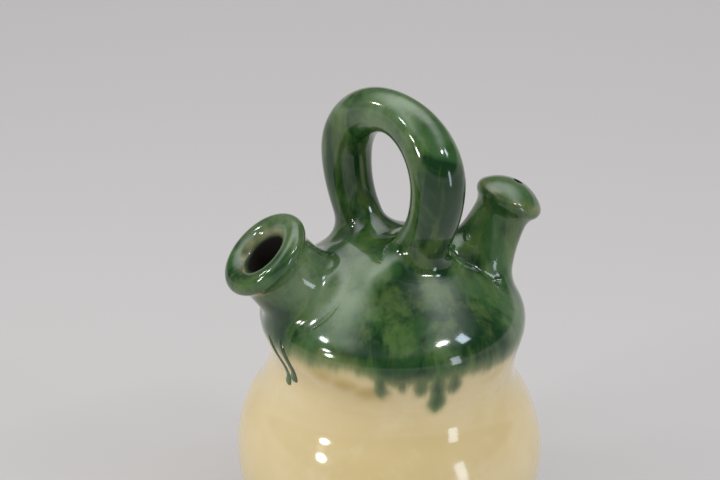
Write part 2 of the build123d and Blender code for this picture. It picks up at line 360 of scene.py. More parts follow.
def sums(tree, operation, *values, clamp=False):
    made = node(tree, "ShaderNodeMath", operation=operation, use_clamp=clamp)
    for socket, value in zip(made.inputs, values):
        if isinstance(value, bpy.types.NodeSocket):
            tree.links.new(value, socket)
        else:
            socket.default_value = value
    return made.outputs[0]


def mixed(tree, share, first, second):
    made = node(tree, "ShaderNodeMix", data_type="RGBA", clamp_factor=True)
    for socket, value in ((made.inputs[0], share), (made.inputs[6], first), (made.inputs[7], second)):
        if isinstance(value, bpy.types.NodeSocket):
            tree.links.new(value, socket)
        else:
            socket.default_value = value if isinstance(value, float) else (*value, 1)
    return made.outputs[2]


def stretched(tree, where, scale):
    return node(tree, "ShaderNodeMapping", {"Vector": where, "Scale": scale}).outputs["Vector"]


def glazeGroup():
    # the colour of the two glazes, how glossy they are and the height of their ripples, all over the jug
    tree = bpy.data.node_groups.new("poured glazes", "ShaderNodeTree")
    for title, kind in (("Where", "Vector"), ("Green", "Float"), ("Ochre", "Float"), ("Milk_and_reflection", "Float"),
                        ("Thin", "Float"), ("Inside", "Float")):
        tree.interface.new_socket(title, in_out="INPUT", socket_type="NodeSocket" + kind)
    for title, kind in (("Colour", "Color"), ("Roughness", "Float"), ("Height", "Float")):
        tree.interface.new_socket(title, in_out="OUTPUT", socket_type="NodeSocket" + kind)
    given = tree.nodes.new("NodeGroupInput")
    put = tree.nodes.new("NodeGroupOutput")
    where, greenFace, ochre, milk_and_reflection, thin, inside = (given.outputs[k] for k in (
        "Where", "Green", "Ochre", "Milk_and_reflection", "Thin", "Inside"))
    falling = stretched(tree, where, amounts["fallen"])
    noise = lambda title, place=where: noiseAt(tree, place, *noises[title])
    comes = lambda title, value: between(tree, value, *levels[title])
    some = lambda title, value: sums(tree, "MULTIPLY", value, amounts[title])
    # the lower edge breaks up into streaks
    band = sums(tree, "MULTIPLY", greenFace, sums(tree, "SUBTRACT", 1.0, greenFace))
    streaks = sums(tree, "MULTIPLY_ADD", noise("streaks", falling), *amounts["ragged"])
    ragged = sums(tree, "MULTIPLY", band, streaks)
    cover = sums(tree, "ADD", greenFace, ragged, clamp=True)
    # green: pools, streaks that ran down and pale breaks; the clouds deepen it as pooled glaze with a painted
    # dark reflection and cloud it as milky glaze with a painted sheen
    pools, clouds, fine = (comes(title, noise(title)) for title in ("pools", "clouds", "fine"))
    runs = comes("runs", noise("runs", falling))
    body = mixed(tree, sums(tree, "SUBTRACT", pools, milk_and_reflection, clamp=True), green["mid"], green["deep"])
    body = mixed(tree, some("runs", runs), body, green["pale"])
    cloudyAndSheen = sums(tree, "MULTIPLY_ADD", clouds, amounts["clouds"], some("milk_and_reflection", milk_and_reflection))
    cloudyAndSheen = sums(tree, "MULTIPLY", cloudyAndSheen, amounts["milkySheen"], clamp=True)
    body = mixed(tree, cloudyAndSheen, body, green["milkySheen"])
    body = mixed(tree, some("fine", fine), body, green["deep"])
    # thin over edges, where the clay's colour shows
    broken = sums(tree, "MULTIPLY", thin, comes("breaks", noise("breaks")))
    body = mixed(tree, broken, body, green["tan"])
    # cream, with warm and cool patches and a few brown specks
    ground = mixed(tree, comes("warm", noise("warm")), cream["mid"], cream["warm"])
    ground = mixed(tree, some("cool", comes("cool", noise("cool"))), ground, cream["cool"])
    dots = node(tree, "ShaderNodeTexVoronoi", {"Vector": where, "Scale": amounts["dotScale"]}, feature="F1")
    small = sums(tree, "LESS_THAN", dots.outputs["Distance"], amounts["dotSize"])
    specks = sums(tree, "MULTIPLY", small, comes("rare", noise("rare")))
    ground = mixed(tree, some("specks", specks), ground, cream["speck"])
    stained = sums(tree, "MULTIPLY_ADD", noise("stained"), *amounts["stained"])
    ground = mixed(tree, sums(tree, "MULTIPLY", ochre, stained, clamp=True), ground, cream["ochre"])
    # where the green runs out it is a thin olive wash over the cream
    wet = mixed(tree, comes("wash", cover), ground, green["olive"])
    colour = mixed(tree, comes("cover", cover), wet, body)
    # the bores' inside is painted near black as shade
    colour = mixed(tree, inside, colour, cream["inside"])
    tree.links.new(colour, put.inputs["Colour"])
    glossy = sums(tree, "MULTIPLY_ADD", noise("gloss"), *amounts["gloss"])
    glossy = sums(tree, "MULTIPLY_ADD", inside, amounts["insideRoughness"], glossy)
    tree.links.new(glossy, put.inputs["Roughness"])
    height = sums(tree, "MULTIPLY_ADD", noise("ripple"), amounts["ripple"], noise("swell"))
    tree.links.new(height, put.inputs["Height"])
    return tree


def glazeMaterial(name):
    material = bpy.data.materials.new(name)
    material.use_nodes = True
    tree = material.node_tree
    shader = tree.nodes["Principled BSDF"]
    poured = node(tree, "ShaderNodeGroup", node_tree=pouredGlazes)
    tree.links.new(node(tree, "ShaderNodeTexCoord").outputs["Object"], poured.inputs["Where"])
    # these shares carry the painted sheen, the painted dark reflection and the painted shade of the bores
    # along with the glazes
    for title in ("green", "ochre", "milk_and_reflection", "thin", "inside"):
        share = node(tree, "ShaderNodeAttribute", attribute_name=title).outputs["Fac"]
        tree.links.new(share, poured.inputs[title.capitalize()])
    bump = node(tree, "ShaderNodeBump", {"Height": poured.outputs["Height"], "Strength": finish["bump"],
                                         "Distance": finish["bumpHeight"]})
    tree.links.new(poured.outputs["Colour"], shader.inputs["Base Color"])
    tree.links.new(poured.outputs["Roughness"], shader.inputs["Roughness"])
    tree.links.new(bump.outputs["Normal"], shader.inputs["Normal"])
    shader.inputs["IOR"].default_value = finish["ior"]
    shader.inputs["Coat Weight"].default_value = finish["coat"]
    shader.inputs["Coat Roughness"].default_value = finish["coatRoughness"]
    return material


pouredGlazes = glazeGroup()
creamGlaze = glazeMaterial("cream glaze")
greenGlaze = glazeMaterial("green glaze")
print("glazes made")


# The body's outline is a chain of circles that touch, as in the CAD model.
body = {
    "wall": 5.0, "floor": 7.5, "footRadius": 40.0, "heel": 4.0, "edge": 1.5,
    "globeRadius": 72.5, "globeHeight": 71.5, "globeUpperRound": 51.5,
    "waistRound": 34.0, "shoulderRadius": 61.8, "shoulderHeight": 140.8, "shoulderRound": 13.0,
    "flankSlope": 39.8, "domeHeight": 40.2, "easing": 4.5, "columns": 288,
    "bowlRows": 150, "domeRows": 112, "innerRows": 90, "rimRows": 3,
    "bowlSoftness": 0.7, "innerSoftness": 1.0, "domeSoftness": 0.5,
}
flankNormal = np.array([np.sin(np.radians(body["flankSlope"])), np.cos(np.radians(body["flankSlope"]))])


def outlineCircles():
    # centre and radius of the lower wall, upper wall, waist, shoulder and the dome's cap
    over = body["globeRadius"] - body["footRadius"]
    up = body["globeHeight"] - body["heel"]
    lowerRound = (over ** 2 + up ** 2) / (2 * over)
    lower = np.array([body["globeRadius"] - lowerRound, body["globeHeight"]])
    upper = np.array([body["globeRadius"] - body["globeUpperRound"], body["globeHeight"]])
    shoulder = np.array([body["shoulderRadius"] - body["shoulderRound"], body["shoulderHeight"]])
    first, second = body["globeUpperRound"] + body["waistRound"], body["shoulderRound"] + body["waistRound"]
    gap = shoulder - upper
    length = np.hypot(*gap)
    along = (first ** 2 - second ** 2 + length ** 2) / (2 * length)
    side = np.array([gap[1], -gap[0]]) / length * np.sqrt(first ** 2 - along ** 2)
    waist = upper + gap / length * along + side
    slope = np.radians(body["flankSlope"])
    edge = shoulder + flankNormal * body["shoulderRound"]
    top = body["shoulderHeight"] + body["domeHeight"]
    domeRound = (edge[1] + edge[0] * np.tan(slope) - top) / (1 / np.cos(slope) - 1)
    return {"lower": (lower, lowerRound), "upper": (upper, body["globeUpperRound"]),
            "waist": (waist, body["waistRound"]), "shoulder": (shoulder, body["shoulderRound"]),
            "dome": (np.array([0, top - domeRound]), domeRound)}


circles = outlineCircles()
waistHeight = circles["waist"][0][1]
waistRadius = circles["waist"][0][0] - body["waistRound"]
domeMiddle = np.array([0, 0, circles["dome"][0][1]])


def bodyOutline(inset, bottom):
    # radius and height from the bottom to the waist, and from the waist to the top, under the outer skin
    lower, upper, waist, shoulder, dome = circles.values()
    reach = {k: circles[k][1] - inset for k in ("lower", "upper", "shoulder", "dome")}
    start = [lower[0][0] + np.sqrt(reach["lower"] ** 2 - (lower[0][1] - bottom) ** 2), bottom]
    belly = [body["globeRadius"] - inset, body["globeHeight"]]
    below = toward(upper[0], waist[0], reach["upper"])
    middle = [waistRadius - inset, waistHeight]
    above = toward(shoulder[0], waist[0], reach["shoulder"])
    flank = [shoulder[0] + flankNormal * reach["shoulder"], dome[0] + flankNormal * reach["dome"]]
    apex = [0, dome[0][1] + reach["dome"]]
    bowl = np.vstack([arcPoints(lower[0], start, belly), arcPoints(upper[0], belly, below),
                      arcPoints(waist[0], below, middle)])
    top = np.vstack([arcPoints(waist[0], middle, above), arcPoints(shoulder[0], above, flank[0]),
                     arcPoints(dome[0], flank[1], apex)])
    return bowl, top


def eased(line):
    # the outline with the turns of its middle averaged by a bell curve, and its ends kept
    count = 500
    soft, plain = evenly(line, count, body["easing"]), evenly(line, count)
    share = np.linspace(0, 1, count)[:, None]
    return plain + (soft - plain) * stepBetween(0, 0.2, share) * (1 - stepBetween(0.65, 0.95, share))


outerBowl, outerTop = bodyOutline(0, body["heel"])
outerTop = eased(outerTop)
innerBowl, innerTop = bodyOutline(body["wall"], body["floor"])
skinLine = np.vstack([outerBowl, outerTop])
skinLine = skinLine[skinLine[:, 1] > body["globeHeight"]]
skinAngles = np.arctan2(skinLine[:, 0], skinLine[:, 1] - domeMiddle[2])[::-1]
skinReach = np.hypot(skinLine[:, 0], skinLine[:, 1] - domeMiddle[2])[::-1]


def overSkin(points):
    # distance from the dome's centre less the outline's reach in that direction
    away = points - domeMiddle
    tilt = np.arctan2(np.hypot(away[..., 0], away[..., 1]), away[..., 2])
    return np.linalg.norm(away, axis=-1) - np.interp(tilt, skinAngles, skinReach)


probe = 0.05  # half the step over which the skin's slope is measured


def skinNormal(points):
    # which way the distance over the skin grows
    steps = np.eye(3) * probe
    slope = np.stack([overSkin(points + s) - overSkin(points - s) for s in steps], -1)
    return slope / np.linalg.norm(slope, axis=-1, keepdims=True)


def ontoSkin(points, direction, over=0.0):
    # slides each point along its direction until it stands that far over the skin, in careful steps
    flattest, longest = 0.2, 6
    for _ in range(12):
        here = overSkin(points) - over
        slope = (overSkin(points + direction * probe) - overSkin(points - direction * probe)) / (2 * probe)
        slope = np.where(abs(slope) < flattest, flattest, slope)
        points = points - direction * np.clip(here / slope, -longest, longest)[..., None]
    return points


# The filling mouth and the drinking spout are both turned necks, set on the dome at a slant.
mouth = {
    "reach": 62.8, "bearing": 181.0, "height": 182.9, "aim": 181.0, "slope": 50.5,
    "rim": 21.5, "roll": 4.3, "neck": 18.0, "throat": 9.0, "flare": 75.0,
    "lipDepth": 6.0, "bore": 10.0, "boreLength": 16.0, "bell": 14.0, "bellDepth": 42.3,
    "columns": 168, "coil": 10.0, "coilSeed": 3, "pierced": 12.5,
    # how thin the glaze is on the lip, at which radius, how widely and from which depth up
    "worn": (0.7, 11.6, 1.2, -7),
    # depths between which the painted shade in the bore starts, within a radius
    "paintedShade": (-4.0, -5.6), "paintedShadeWithin": 11.5,
}
spout = {
    "reach": 57.1, "bearing": -2.8, "height": 195.0, "aim": -2.8, "slope": 63.4,
    "rim": 16.0, "roll": 4.2, "neck": 12.7, "throat": 9.0, "flare": 64.0,
    "rise": 5.0, "hole": 2.0, "holeLength": 5.0, "core": 7.5, "bell": 11.0, "bellDepth": 48.5,
    "columns": 144, "coil": 9.5, "coilSeed": 5, "pierced": 10.5,
    "worn": (0.45, 14.8, 1.1, -4),
}
neckRows = {"flare": 33, "bell": 15, "step": 0.62, "softness": 0.35, "under": 2.5, "deeper": 5.0}


def tiltedAxes(neck):
    # tip, sideways, upways and outward directions
    bearing, aim, slope = (np.radians(neck[k]) for k in ("bearing", "aim", "slope"))
    tip = np.array([neck["reach"] * np.cos(bearing), neck["reach"] * np.sin(bearing), neck["height"]])
    out = np.array([np.cos(slope) * np.cos(aim), np.cos(slope) * np.sin(aim), np.sin(slope)])
    side = np.array([-np.sin(aim), np.cos(aim), 0])
    return tip, side, np.cross(out, side), out


def placed(neck, local):
    # from the neck's own sideways, upways and outward lengths to the jug's frame
    tip, side, upways, out = tiltedAxes(neck)
    return tip + local[..., :1] * side + local[..., 1:2] * upways + local[..., 2:] * out


def neckCircles(neck):
    # the middles of the rolled rim, the throat under it and the flare down to the root
    rollAt = np.array([neck["rim"] - neck["roll"], -neck["roll"]])
    aside = neck["neck"] + neck["throat"] - rollAt[0]
    low = rollAt[1] - np.sqrt((neck["throat"] + neck["roll"]) ** 2 - aside ** 2)
    throatAt, flareAt = (np.array([neck["neck"] + neck[k], low]) for k in ("throat", "flare"))
    return rollAt, throatAt, flareAt


def flareRadius(neck, depth):
    flareAt = neckCircles(neck)[2]
    return flareAt[0] - np.sqrt(neck["flare"] ** 2 - (depth - flareAt[1]) ** 2)


def columnAngles(neck):
    return np.arange(neck["columns"]) * tau / neck["columns"]


def rayPoints(neck, radius, depth):
    # one ring: radius cos a sideways, radius sin a upways, at that depth
    angles = columnAngles(neck)
    ring = np.stack([radius * np.cos(angles), radius * np.sin(angles), depth + 0 * angles], -1)
    return placed(neck, ring)


def meetingDepth(neck, radiusAt, over):
    # the depth at which each column of a turned surface stands that far over the skin, by halving
    high = np.full(neck["columns"], neckCircles(neck)[1][1])
    low = high - 60
    for _ in range(40):
        middle = (high + low) / 2
        above = overSkin(rayPoints(neck, radiusAt(middle), middle)) > over
        high, low = np.where(above, middle, high), np.where(above, low, middle)
    return (high + low) / 2


def neckLoop(neck, lid, bellStart):
    # a closed loop of rows: up the flare, over the rim, down the lid's line and the bell, and under the root
    rollAt, throatAt = neckCircles(neck)[:2]
    under = toward(rollAt, throatAt, neck["roll"])
    narrow = [neck["neck"], throatAt[1]]
    rim = np.vstack([arcPoints(throatAt, narrow, under), arcPoints(rollAt, under, [neck["rim"], rollAt[1]]),
                     arcPoints(rollAt, [neck["rim"], rollAt[1]], lid[0]), lid])
    length = np.hypot(*np.diff(rim, axis=0).T).sum()
    rim = evenly(rim, int(length / neckRows["step"]), neckRows["softness"])
    bellAt = lambda depth: bellStart[0] + (neck["bell"] - bellStart[0]) * (bellStart[1] - depth) / (
        neck["bellDepth"] + bellStart[1])
    under = neckRows["under"]
    root = np.maximum(meetingDepth(neck, lambda d: flareRadius(neck, d), -under),
                      meetingDepth(neck, lambda d: flareRadius(neck, d), 0) - neckRows["deeper"])
    inner = meetingDepth(neck, bellAt, -under)
    grid = []
    for share in np.linspace(0, 1, neckRows["flare"] + 1)[:-1]:
        depth = root + (narrow[1] - root) * share
        grid.append(rayPoints(neck, flareRadius(neck, depth), depth))
    for radius, depth in rim:
        grid.append(rayPoints(neck, np.full(neck["columns"], radius), depth))
    for share in np.linspace(0, 1, neckRows["bell"] + 1)[1:]:
        depth = bellStart[1] + (inner - bellStart[1]) * share
        grid.append(rayPoints(neck, bellAt(depth), depth))
    innerEnd, outerEnd = grid[-1], grid[0]
    for share in (0.33, 0.67):
        grid.append(innerEnd + (outerEnd - innerEnd) * share)
    return np.array(grid), rim


coils = {
    # rows, the share of them that runs on under the skins and how deep, the least reach and the back's depth
    "rows": 22, "runOn": 0.12, "sink": 0.35, "least": 0.7, "depth": 0.9, "tiny": 0.4,
    "neckWaver": 0.16, "handleWaver": 0.2,
}


def cornerCoil(onPiece, onDome, corner, normals, size, unevenness):
    # piece's point at reach a(1-s)^2 plus dome's point at reach b s^2 less the corner's point, s from 0 to 1:
    # it leaves the piece and lands on the dome without a crease. A few rows run on under both skins.
    pieceNormal, domeNormal = normals
    tiny = np.full(len(corner), coils["tiny"])
    upPiece, alongDome = onPiece(tiny) - corner, onDome(tiny) - corner
    upPiece /= np.linalg.norm(upPiece, axis=-1, keepdims=True)
    alongDome /= np.linalg.norm(alongDome, axis=-1, keepdims=True)
    opening = np.arccos(np.clip((upPiece * alongDome).sum(-1), -1, 1))
    reach = np.maximum(size / np.tan(opening / 2), size * coils["least"]) * unevenness
    grid = []
    runOn = coils["runOn"]
    for share in np.linspace(-runOn, 1 + runOn, coils["rows"]):
        point = onPiece(reach * max(1 - share, 0) ** 2) + onDome(reach * max(share, 0) ** 2) - corner
        sink = coils["sink"] * max(-share, share - 1, 0) / runOn
        normal = pieceNormal if share < 0.5 else domeNormal
        grid.append(point - normal * sink)
    backs = (grid[-1], domeNormal), (corner, pieceNormal + domeNormal), (grid[0], pieceNormal)
    grid += [point - normal * coils["depth"] for point, normal in backs]
    return np.array(grid)


def wavering(angles, seed, spread):
    # 1 plus a few low harmonics round the joint
    dice = np.random.default_rng(seed)
    wave = sum(np.sin(k * angles + dice.uniform(0, tau)) / k ** 0.7 for k in (1, 2, 3, 5, 7))
    return 1 + spread * wave / 2


def neckCoil(neck):
    # the corner between a neck's flare and the dome, filled all round
    angles = columnAngles(neck)
    depth = meetingDepth(neck, lambda d: flareRadius(neck, d), 0)
    radius = flareRadius(neck, depth)
    corner = rayPoints(neck, radius, depth)
    side, upways, out = tiltedAxes(neck)[1:]
    away = np.cos(angles)[:, None] * side + np.sin(angles)[:, None] * upways
    onPiece = lambda reach: rayPoints(neck, flareRadius(neck, depth + reach), depth + reach)
    outward = np.broadcast_to(out, corner.shape)
    onDome = lambda reach: ontoSkin(rayPoints(neck, radius + reach, depth), outward)
    waver = wavering(angles, neck["coilSeed"], coils["neckWaver"])
    return cornerCoil(onPiece, onDome, corner, (away, skinNormal(corner)), neck["coil"], waver)


# The handle is one bar bent into a ring, with its feet in the dome.
handle = {
    "bearing": -66.0, "setBack": 1.8, "footSpread": 16.8, "footHeight": 177.0, "sideHeight": 35.0,
    "halfWidth": 29.3, "crownHeight": 26.5, "sunk": 8.0, "under": 2.5, "softness": 2.5,
    "columns": 96, "rows": 190,
    # shares of the bar's length and its radii there
    "shares": [0, 0.13, 0.31, 0.5, 0.69, 0.87, 1], "radii": [11.6, 11.1, 12.4, 9.2, 11.9, 10.4, 11.2],
    "frontCoil": (10.0, 7), "backCoil": (11.0, 9),  # size and seed
}


def handleLine():
    # legs bulging out from the dome, then half an ellipse over the top, from the front foot to the back one
    side, footAt = handle["footHeight"] + handle["sideHeight"], handle["footSpread"]
    bulge = handle["halfWidth"] - footAt
    legRound = (handle["sideHeight"] ** 2 + bulge ** 2) / (2 * bulge)
    leg = np.array([handle["halfWidth"] - legRound, side])
    sunk = handle["sideHeight"] + handle["sunk"]
    start = [leg[0] + np.sqrt(legRound ** 2 - sunk ** 2), side - sunk]
    up = arcPoints(leg, start, [handle["halfWidth"], side])
    angles = np.linspace(0, np.pi / 2, 240)[:, None]
    over = np.hstack([handle["halfWidth"] * np.cos(angles), side + handle["crownHeight"] * np.sin(angles)])
    half = np.vstack([up, over[1:]])
    whole = np.vstack([half, half[-2::-1] * [-1, 1]])
    return evenly(whole, 1201, handle["softness"])


handlePath = handleLine()
handleSlope = np.gradient(handlePath, axis=0)
handleSlope /= np.linalg.norm(handleSlope, axis=1, keepdims=True)
handleWay = np.array([np.cos(np.radians(handle["bearing"])), np.sin(np.radians(handle["bearing"])), 0])
handleSide = np.array([-handleWay[1], handleWay[0], 0])
handleSteps = np.arange(len(handlePath))


def handleRadius(share):
    # the listed radii joined by straight runs, then averaged under a smooth window
    count, half = 401, 37
    smooth = np.linspace(0, 1, count)
    rough = np.interp(smooth, handle["shares"], handle["radii"])
    weights = np.hanning(2 * half + 1)
    padded = np.r_[np.full(half, rough[0]), rough, np.full(half, rough[-1])]
    return np.interp(share, smooth, np.convolve(padded, weights / weights.sum(), "valid"))


def handleMiddle(share):
    spot = np.clip(share, 0, 1) * (len(handlePath) - 1)
    across, height = (np.interp(spot, handleSteps, handlePath[:, k])[..., None] for k in (0, 1))
    return (across - handle["setBack"]) * handleWay + height * upward, spot


def handlePoints(share, angle):
    # the path's point plus the bar's radius round it: cos a along the bend's outside, sin a to the side
    middle, spot = handleMiddle(share)
    across, rise = (np.interp(spot, handleSteps, handleSlope[:, k])[..., None] for k in (0, 1))
    outward = rise * handleWay - across * upward
    radius = handleRadius(share)[..., None]
    return middle + radius * (np.cos(angle)[..., None] * outward + np.sin(angle)[..., None] * handleSide)


def handleEnds(over):
    # the share along the path at which each column stands that far over the skin, at both feet
    angles = np.arange(handle["columns"]) * tau / handle["columns"]
    ends = []
    for low, high in ((np.zeros_like(angles), np.full_like(angles, 0.3)),
                      (np.ones_like(angles), np.full_like(angles, 0.7))):
        for _ in range(40):
            middle = (low + high) / 2
            above = overSkin(handlePoints(middle, angles)) > over
            low, high = np.where(above, low, middle), np.where(above, middle, high)
        ends.append((low + high) / 2)
    return angles, ends[0], ends[1]


def handleCoil(front, size, seed):
    # the corner between one foot of the bar and the dome, filled all round
    angles, frontEnd, backEnd = handleEnds(0)
    share = frontEnd if front else backEnd
    corner = handlePoints(share, angles)
    sign = 1 if front else -1
    length = np.linalg.norm(np.diff(handlePath, axis=0), axis=1).sum()
    ahead = handlePoints(share + sign * 0.01, angles) - corner
    ahead /= np.linalg.norm(ahead, axis=-1, keepdims=True)
    away = corner - handleMiddle(share)[0]
    away /= np.linalg.norm(away, axis=-1, keepdims=True)
    onPiece = lambda reach: handlePoints(share + sign * reach / length, angles)
    onDome = lambda reach: ontoSkin(corner + reach[:, None] * away, ahead)
    waver = wavering(angles, seed, coils["handleWaver"])
    return cornerCoil(onPiece, onDome, corner, (away, skinNormal(corner)), size, waver)


def pierced(points, inner):
    # which quads of the dome's grid stay, and the grids with the holes' edges drawn onto their circles
    rows, columns = points.shape[:2]
    stays = np.ones((rows - 1, columns), bool)
    for neck in (mouth, spout):
        radius = neck["pierced"]
        tip, _, _, out = tiltedAxes(neck)
        radial = lambda grid: (grid - tip) - ((grid - tip) @ out)[..., None] * out
        turned = np.roll(points, -1, 1)
        middle = (points[:-1] + points[1:] + turned[:-1] + turned[1:]) / 4
        facing = (middle - domeMiddle) @ out > 0
        gone = (np.linalg.norm(radial(middle), axis=-1) < radius) & facing
        stays &= ~gone
        corner = np.zeros((rows, columns), bool)
        whole = np.zeros((rows, columns), bool)
        for shifted in (gone, np.roll(gone, 1, 1)):
            corner[:-1] |= shifted
            corner[1:] |= shifted
        for shifted in (~gone, np.roll(~gone, 1, 1)):
            whole[:-1] |= shifted
            whole[1:] |= shifted
        edge = corner & whole
        for grid in (points, inner):
            spoke = radial(grid[edge])
            grid[edge] += spoke * (radius / np.linalg.norm(spoke, axis=-1, keepdims=True) - 1)
    return stays


def shellFaces(rows, columns, stays):
    # outer quads, inner quads turned round, and a wall quad on every edge that only one outer quad has
    outer = gridFaces(rows, columns, lastPole=True)[stays.ravel()]
    starts, ends = outer.ravel(), np.roll(outer, -1, 1).ravel()
    count = rows * columns
    there, back = starts * count + ends, ends * count + starts
    bare = ~np.isin(there, back) & (starts != ends)
    a, b = starts[bare], ends[bare]
    return np.vstack([outer, outer[:, ::-1] + count, np.stack([b, a, a + count, b + count], -1)])


def buildLowerBody():
    # the bowl's profile, out and back in, carried round the axis
    edge, foot = body["edge"], body["footRadius"]
    start = outerBowl[0]
    corner = arcPoints([foot - edge, edge], [foot - edge, 0], [foot, edge])
    outside = np.vstack([[[0, 0], [foot - edge, 0]], corner, [start], outerBowl])
    outside = evenly(outside, body["bowlRows"], body["bowlSoftness"])
    outside[:, 1] = np.maximum(outside[:, 1], 0)
    inside = np.vstack([innerBowl[::-1], [[0, body["floor"]]]])
    inside = evenly(inside, body["innerRows"], body["innerSoftness"])
    rim = np.linspace(outside[-1], inside[0], body["rimRows"] + 2)[1:-1]
    rows = np.vstack([outside, rim, inside])
    rows[0, 0] = rows[-1, 0] = 0
    grid = turnedGrid(rows, body["columns"])
    faces = gridFaces(len(rows), body["columns"], firstPole=True, lastPole=True)
    makePiece("lower-body", grid, faces, creamGlaze, "cream_glaze", "lower_body")


def buildUpperBody():
    # the dome's outer and inner profiles carried round the axis, then pierced
    outside, inside = (turnedGrid(evenly(line, body["domeRows"], body["domeSoftness"]), body["columns"])
                       for line in (outerTop, innerTop))
    stays = pierced(outside, inside)
    faces = shellFaces(body["domeRows"], body["columns"], stays)
    makePiece("upper-body", np.stack([outside, inside]), faces, greenGlaze, "green_glaze", "upper_body")


waistCoil = {
    "half": 3.2, "rows": 15, "proud": 0.04, "sunk": 0.5,
    "back": [[-1.8, 2.0], [-2.4, 0.0], [-1.8, -2.0]],  # from the waist's skin
}


def buildWaistCoil():
    # a band that follows the outer skin, its edges and back sunk in the wall
    half = waistCoil["half"]
    heights = waistHeight + np.linspace(-half, half, waistCoil["rows"])
    bow = body["waistRound"]
    skin = waistRadius + bow - np.sqrt(bow ** 2 - (heights - waistHeight) ** 2)
    proud = waistCoil["proud"] - waistCoil["sunk"] * (abs(heights - waistHeight) / half) ** 6
    front = np.stack([skin + proud, heights], -1)
    rows = np.vstack([front, np.array(waistCoil["back"]) + [waistRadius, waistHeight]])
    grid = turnedGrid(rows, body["columns"])
    makePiece("waist-coil", grid, gridFaces(len(rows), body["columns"], closedRows=True), creamGlaze,
              "cream_glaze", "waist_coil")


def wornShare(neck, rim, grid):
    # how thin the glaze is on each row of a rim: a bell curve of the radius, on the rows near the outside
    much, radius, wide, lowest = neck["worn"]
    thin = np.zeros(grid.shape[:2])
    worn = much * np.exp(-((rim[:, 0] - radius) / wide) ** 2) * (rim[:, 1] > lowest)
    thin[neckRows["flare"]:neckRows["flare"] + len(rim)] = worn[:, None]
    return thin


def insideShadeShare(paintedShade, rim, grid):
    # the painted shade on each row of a rim, and all of it from there down
    inside = np.zeros(grid.shape[:2])
    inside[neckRows["flare"]:neckRows["flare"] + len(rim)] = paintedShade[:, None]
    inside[neckRows["flare"] + len(rim):] = 1
    return inside


def makeNeck(title, neck, grid, rim, paintedShade):
    # the neck itself, and the coil round its root
    columns = neck["columns"]
    name = {"mouth": "filling-mouth", "spout": "drinking-spout"}[title]
    makePiece(name, grid, gridFaces(len(grid), columns, closedRows=True), greenGlaze, "green_glaze",
              name.replace("-", "_"), thin=wornShare(neck, rim, grid), inside=insideShadeShare(paintedShade, rim, grid))
    coil = neckCoil(neck)
    makePiece(title + "-coil", coil, gridFaces(len(coil), columns, closedRows=True), greenGlaze,
              "green_glaze", title + "_coil")


def buildMouth():
    # the lip turns a quarter of an oval down into the bore
    crest = mouth["rim"] - mouth["roll"]
    angles = np.linspace(np.pi / 2, np.pi, 60)[:, None]
    across = crest - mouth["bore"]
    down = mouth["lipDepth"]
    lip = np.hstack([crest + across * np.cos(angles), down * np.sin(angles) - down])
    boreEnd = [mouth["bore"], -down - mouth["boreLength"]]
    grid, rim = neckLoop(mouth, np.vstack([lip, [boreEnd]]), boreEnd)
    # below the lip the bore is painted dark as shade
    paintedShade = stepBetween(*mouth["paintedShade"], rim[:, 1]) * (rim[:, 0] < mouth["paintedShadeWithin"])
    makeNeck("mouth", mouth, grid, rim, paintedShade)


def buildSpout():
    # the lid is a cap that leaves the rolled edge without a crease
    roll, rise = spout["roll"], spout["rise"]
    crest = spout["rim"] - roll
    cap = (crest ** 2 + (rise + roll) ** 2 - roll ** 2) / (2 * rise)
    middle = np.array([0, rise - cap])
    start = toward(middle, [crest, -roll], cap)
    depth = middle[1] + np.sqrt(cap ** 2 - spout["hole"] ** 2)
    end = [spout["hole"], -spout["holeLength"]]
    core = [spout["core"], end[1] - (spout["core"] - spout["hole"])]
    lid = np.vstack([arcPoints(middle, start, [spout["hole"], depth]), [end], [core]])
    grid, rim = neckLoop(spout, lid, core)
    # the spout's hole is painted dark as shade
    makeNeck("spout", spout, grid, rim, rim[:, 0] < spout["hole"] + 0.3)


def buildHandle():
    # rings along the bar from foot to foot, each end closed by a pole inside the dome
    angles, front, back = handleEnds(-handle["under"])
    shares = np.linspace(0, 1, handle["rows"])[:, None]
    along = front + (back - front) * shares
    grid = handlePoints(along, np.broadcast_to(angles, along.shape))
    ends = [np.repeat(ring.mean(0)[None], handle["columns"], 0)[None] for ring in (grid[0], grid[-1])]
    grid = np.concatenate([ends[0], grid, ends[1]])
    faces = gridFaces(len(grid), handle["columns"], firstPole=True, lastPole=True)
    makePiece("handle", grid, faces, greenGlaze, "green_glaze", "handle")
    for title in ("front", "back"):
        coil = handleCoil(title == "front", *handle[title + "Coil"])
        makePiece("handle-%s-coil" % title, coil, gridFaces(len(coil), handle["columns"], closedRows=True),
                  greenGlaze, "green_glaze", "handle_%s_coil" % title)


glazeRuns = {
    "bearings": [[180.0, 184.0, 190.5, 194.5, 194.5], [190.0, 194.5, 199.5, 200.5, 199.0]],
    "heights": [[150.0, 143.0, 136.5, 128.5, 119.5], [148.5, 144.5, 138.0, 130.5, 124.5]],
    "radii": [2.1, 2.4], "sunk": [1.1, 1.2], "rows": 70, "columns": 28, "green": 0.85,
    # share of the radius at the start and where it is full, the drop's extra, its place and its length
    "start": 0.35, "full": 0.45, "drop": (0.25, 0.93, 0.06), "roundEnd": 0.05, "flattened": 0.8,
    "deeper": 0.35, "deeperUntil": 0.4,
}


def skinAt(bearing, height):
    # the outer skin's point at a bearing and a height
    radius = np.interp(height, skinLine[:, 1], skinLine[:, 0])
    angle = np.radians(bearing)
    return np.stack([radius * np.cos(angle), radius * np.sin(angle), height], -1)


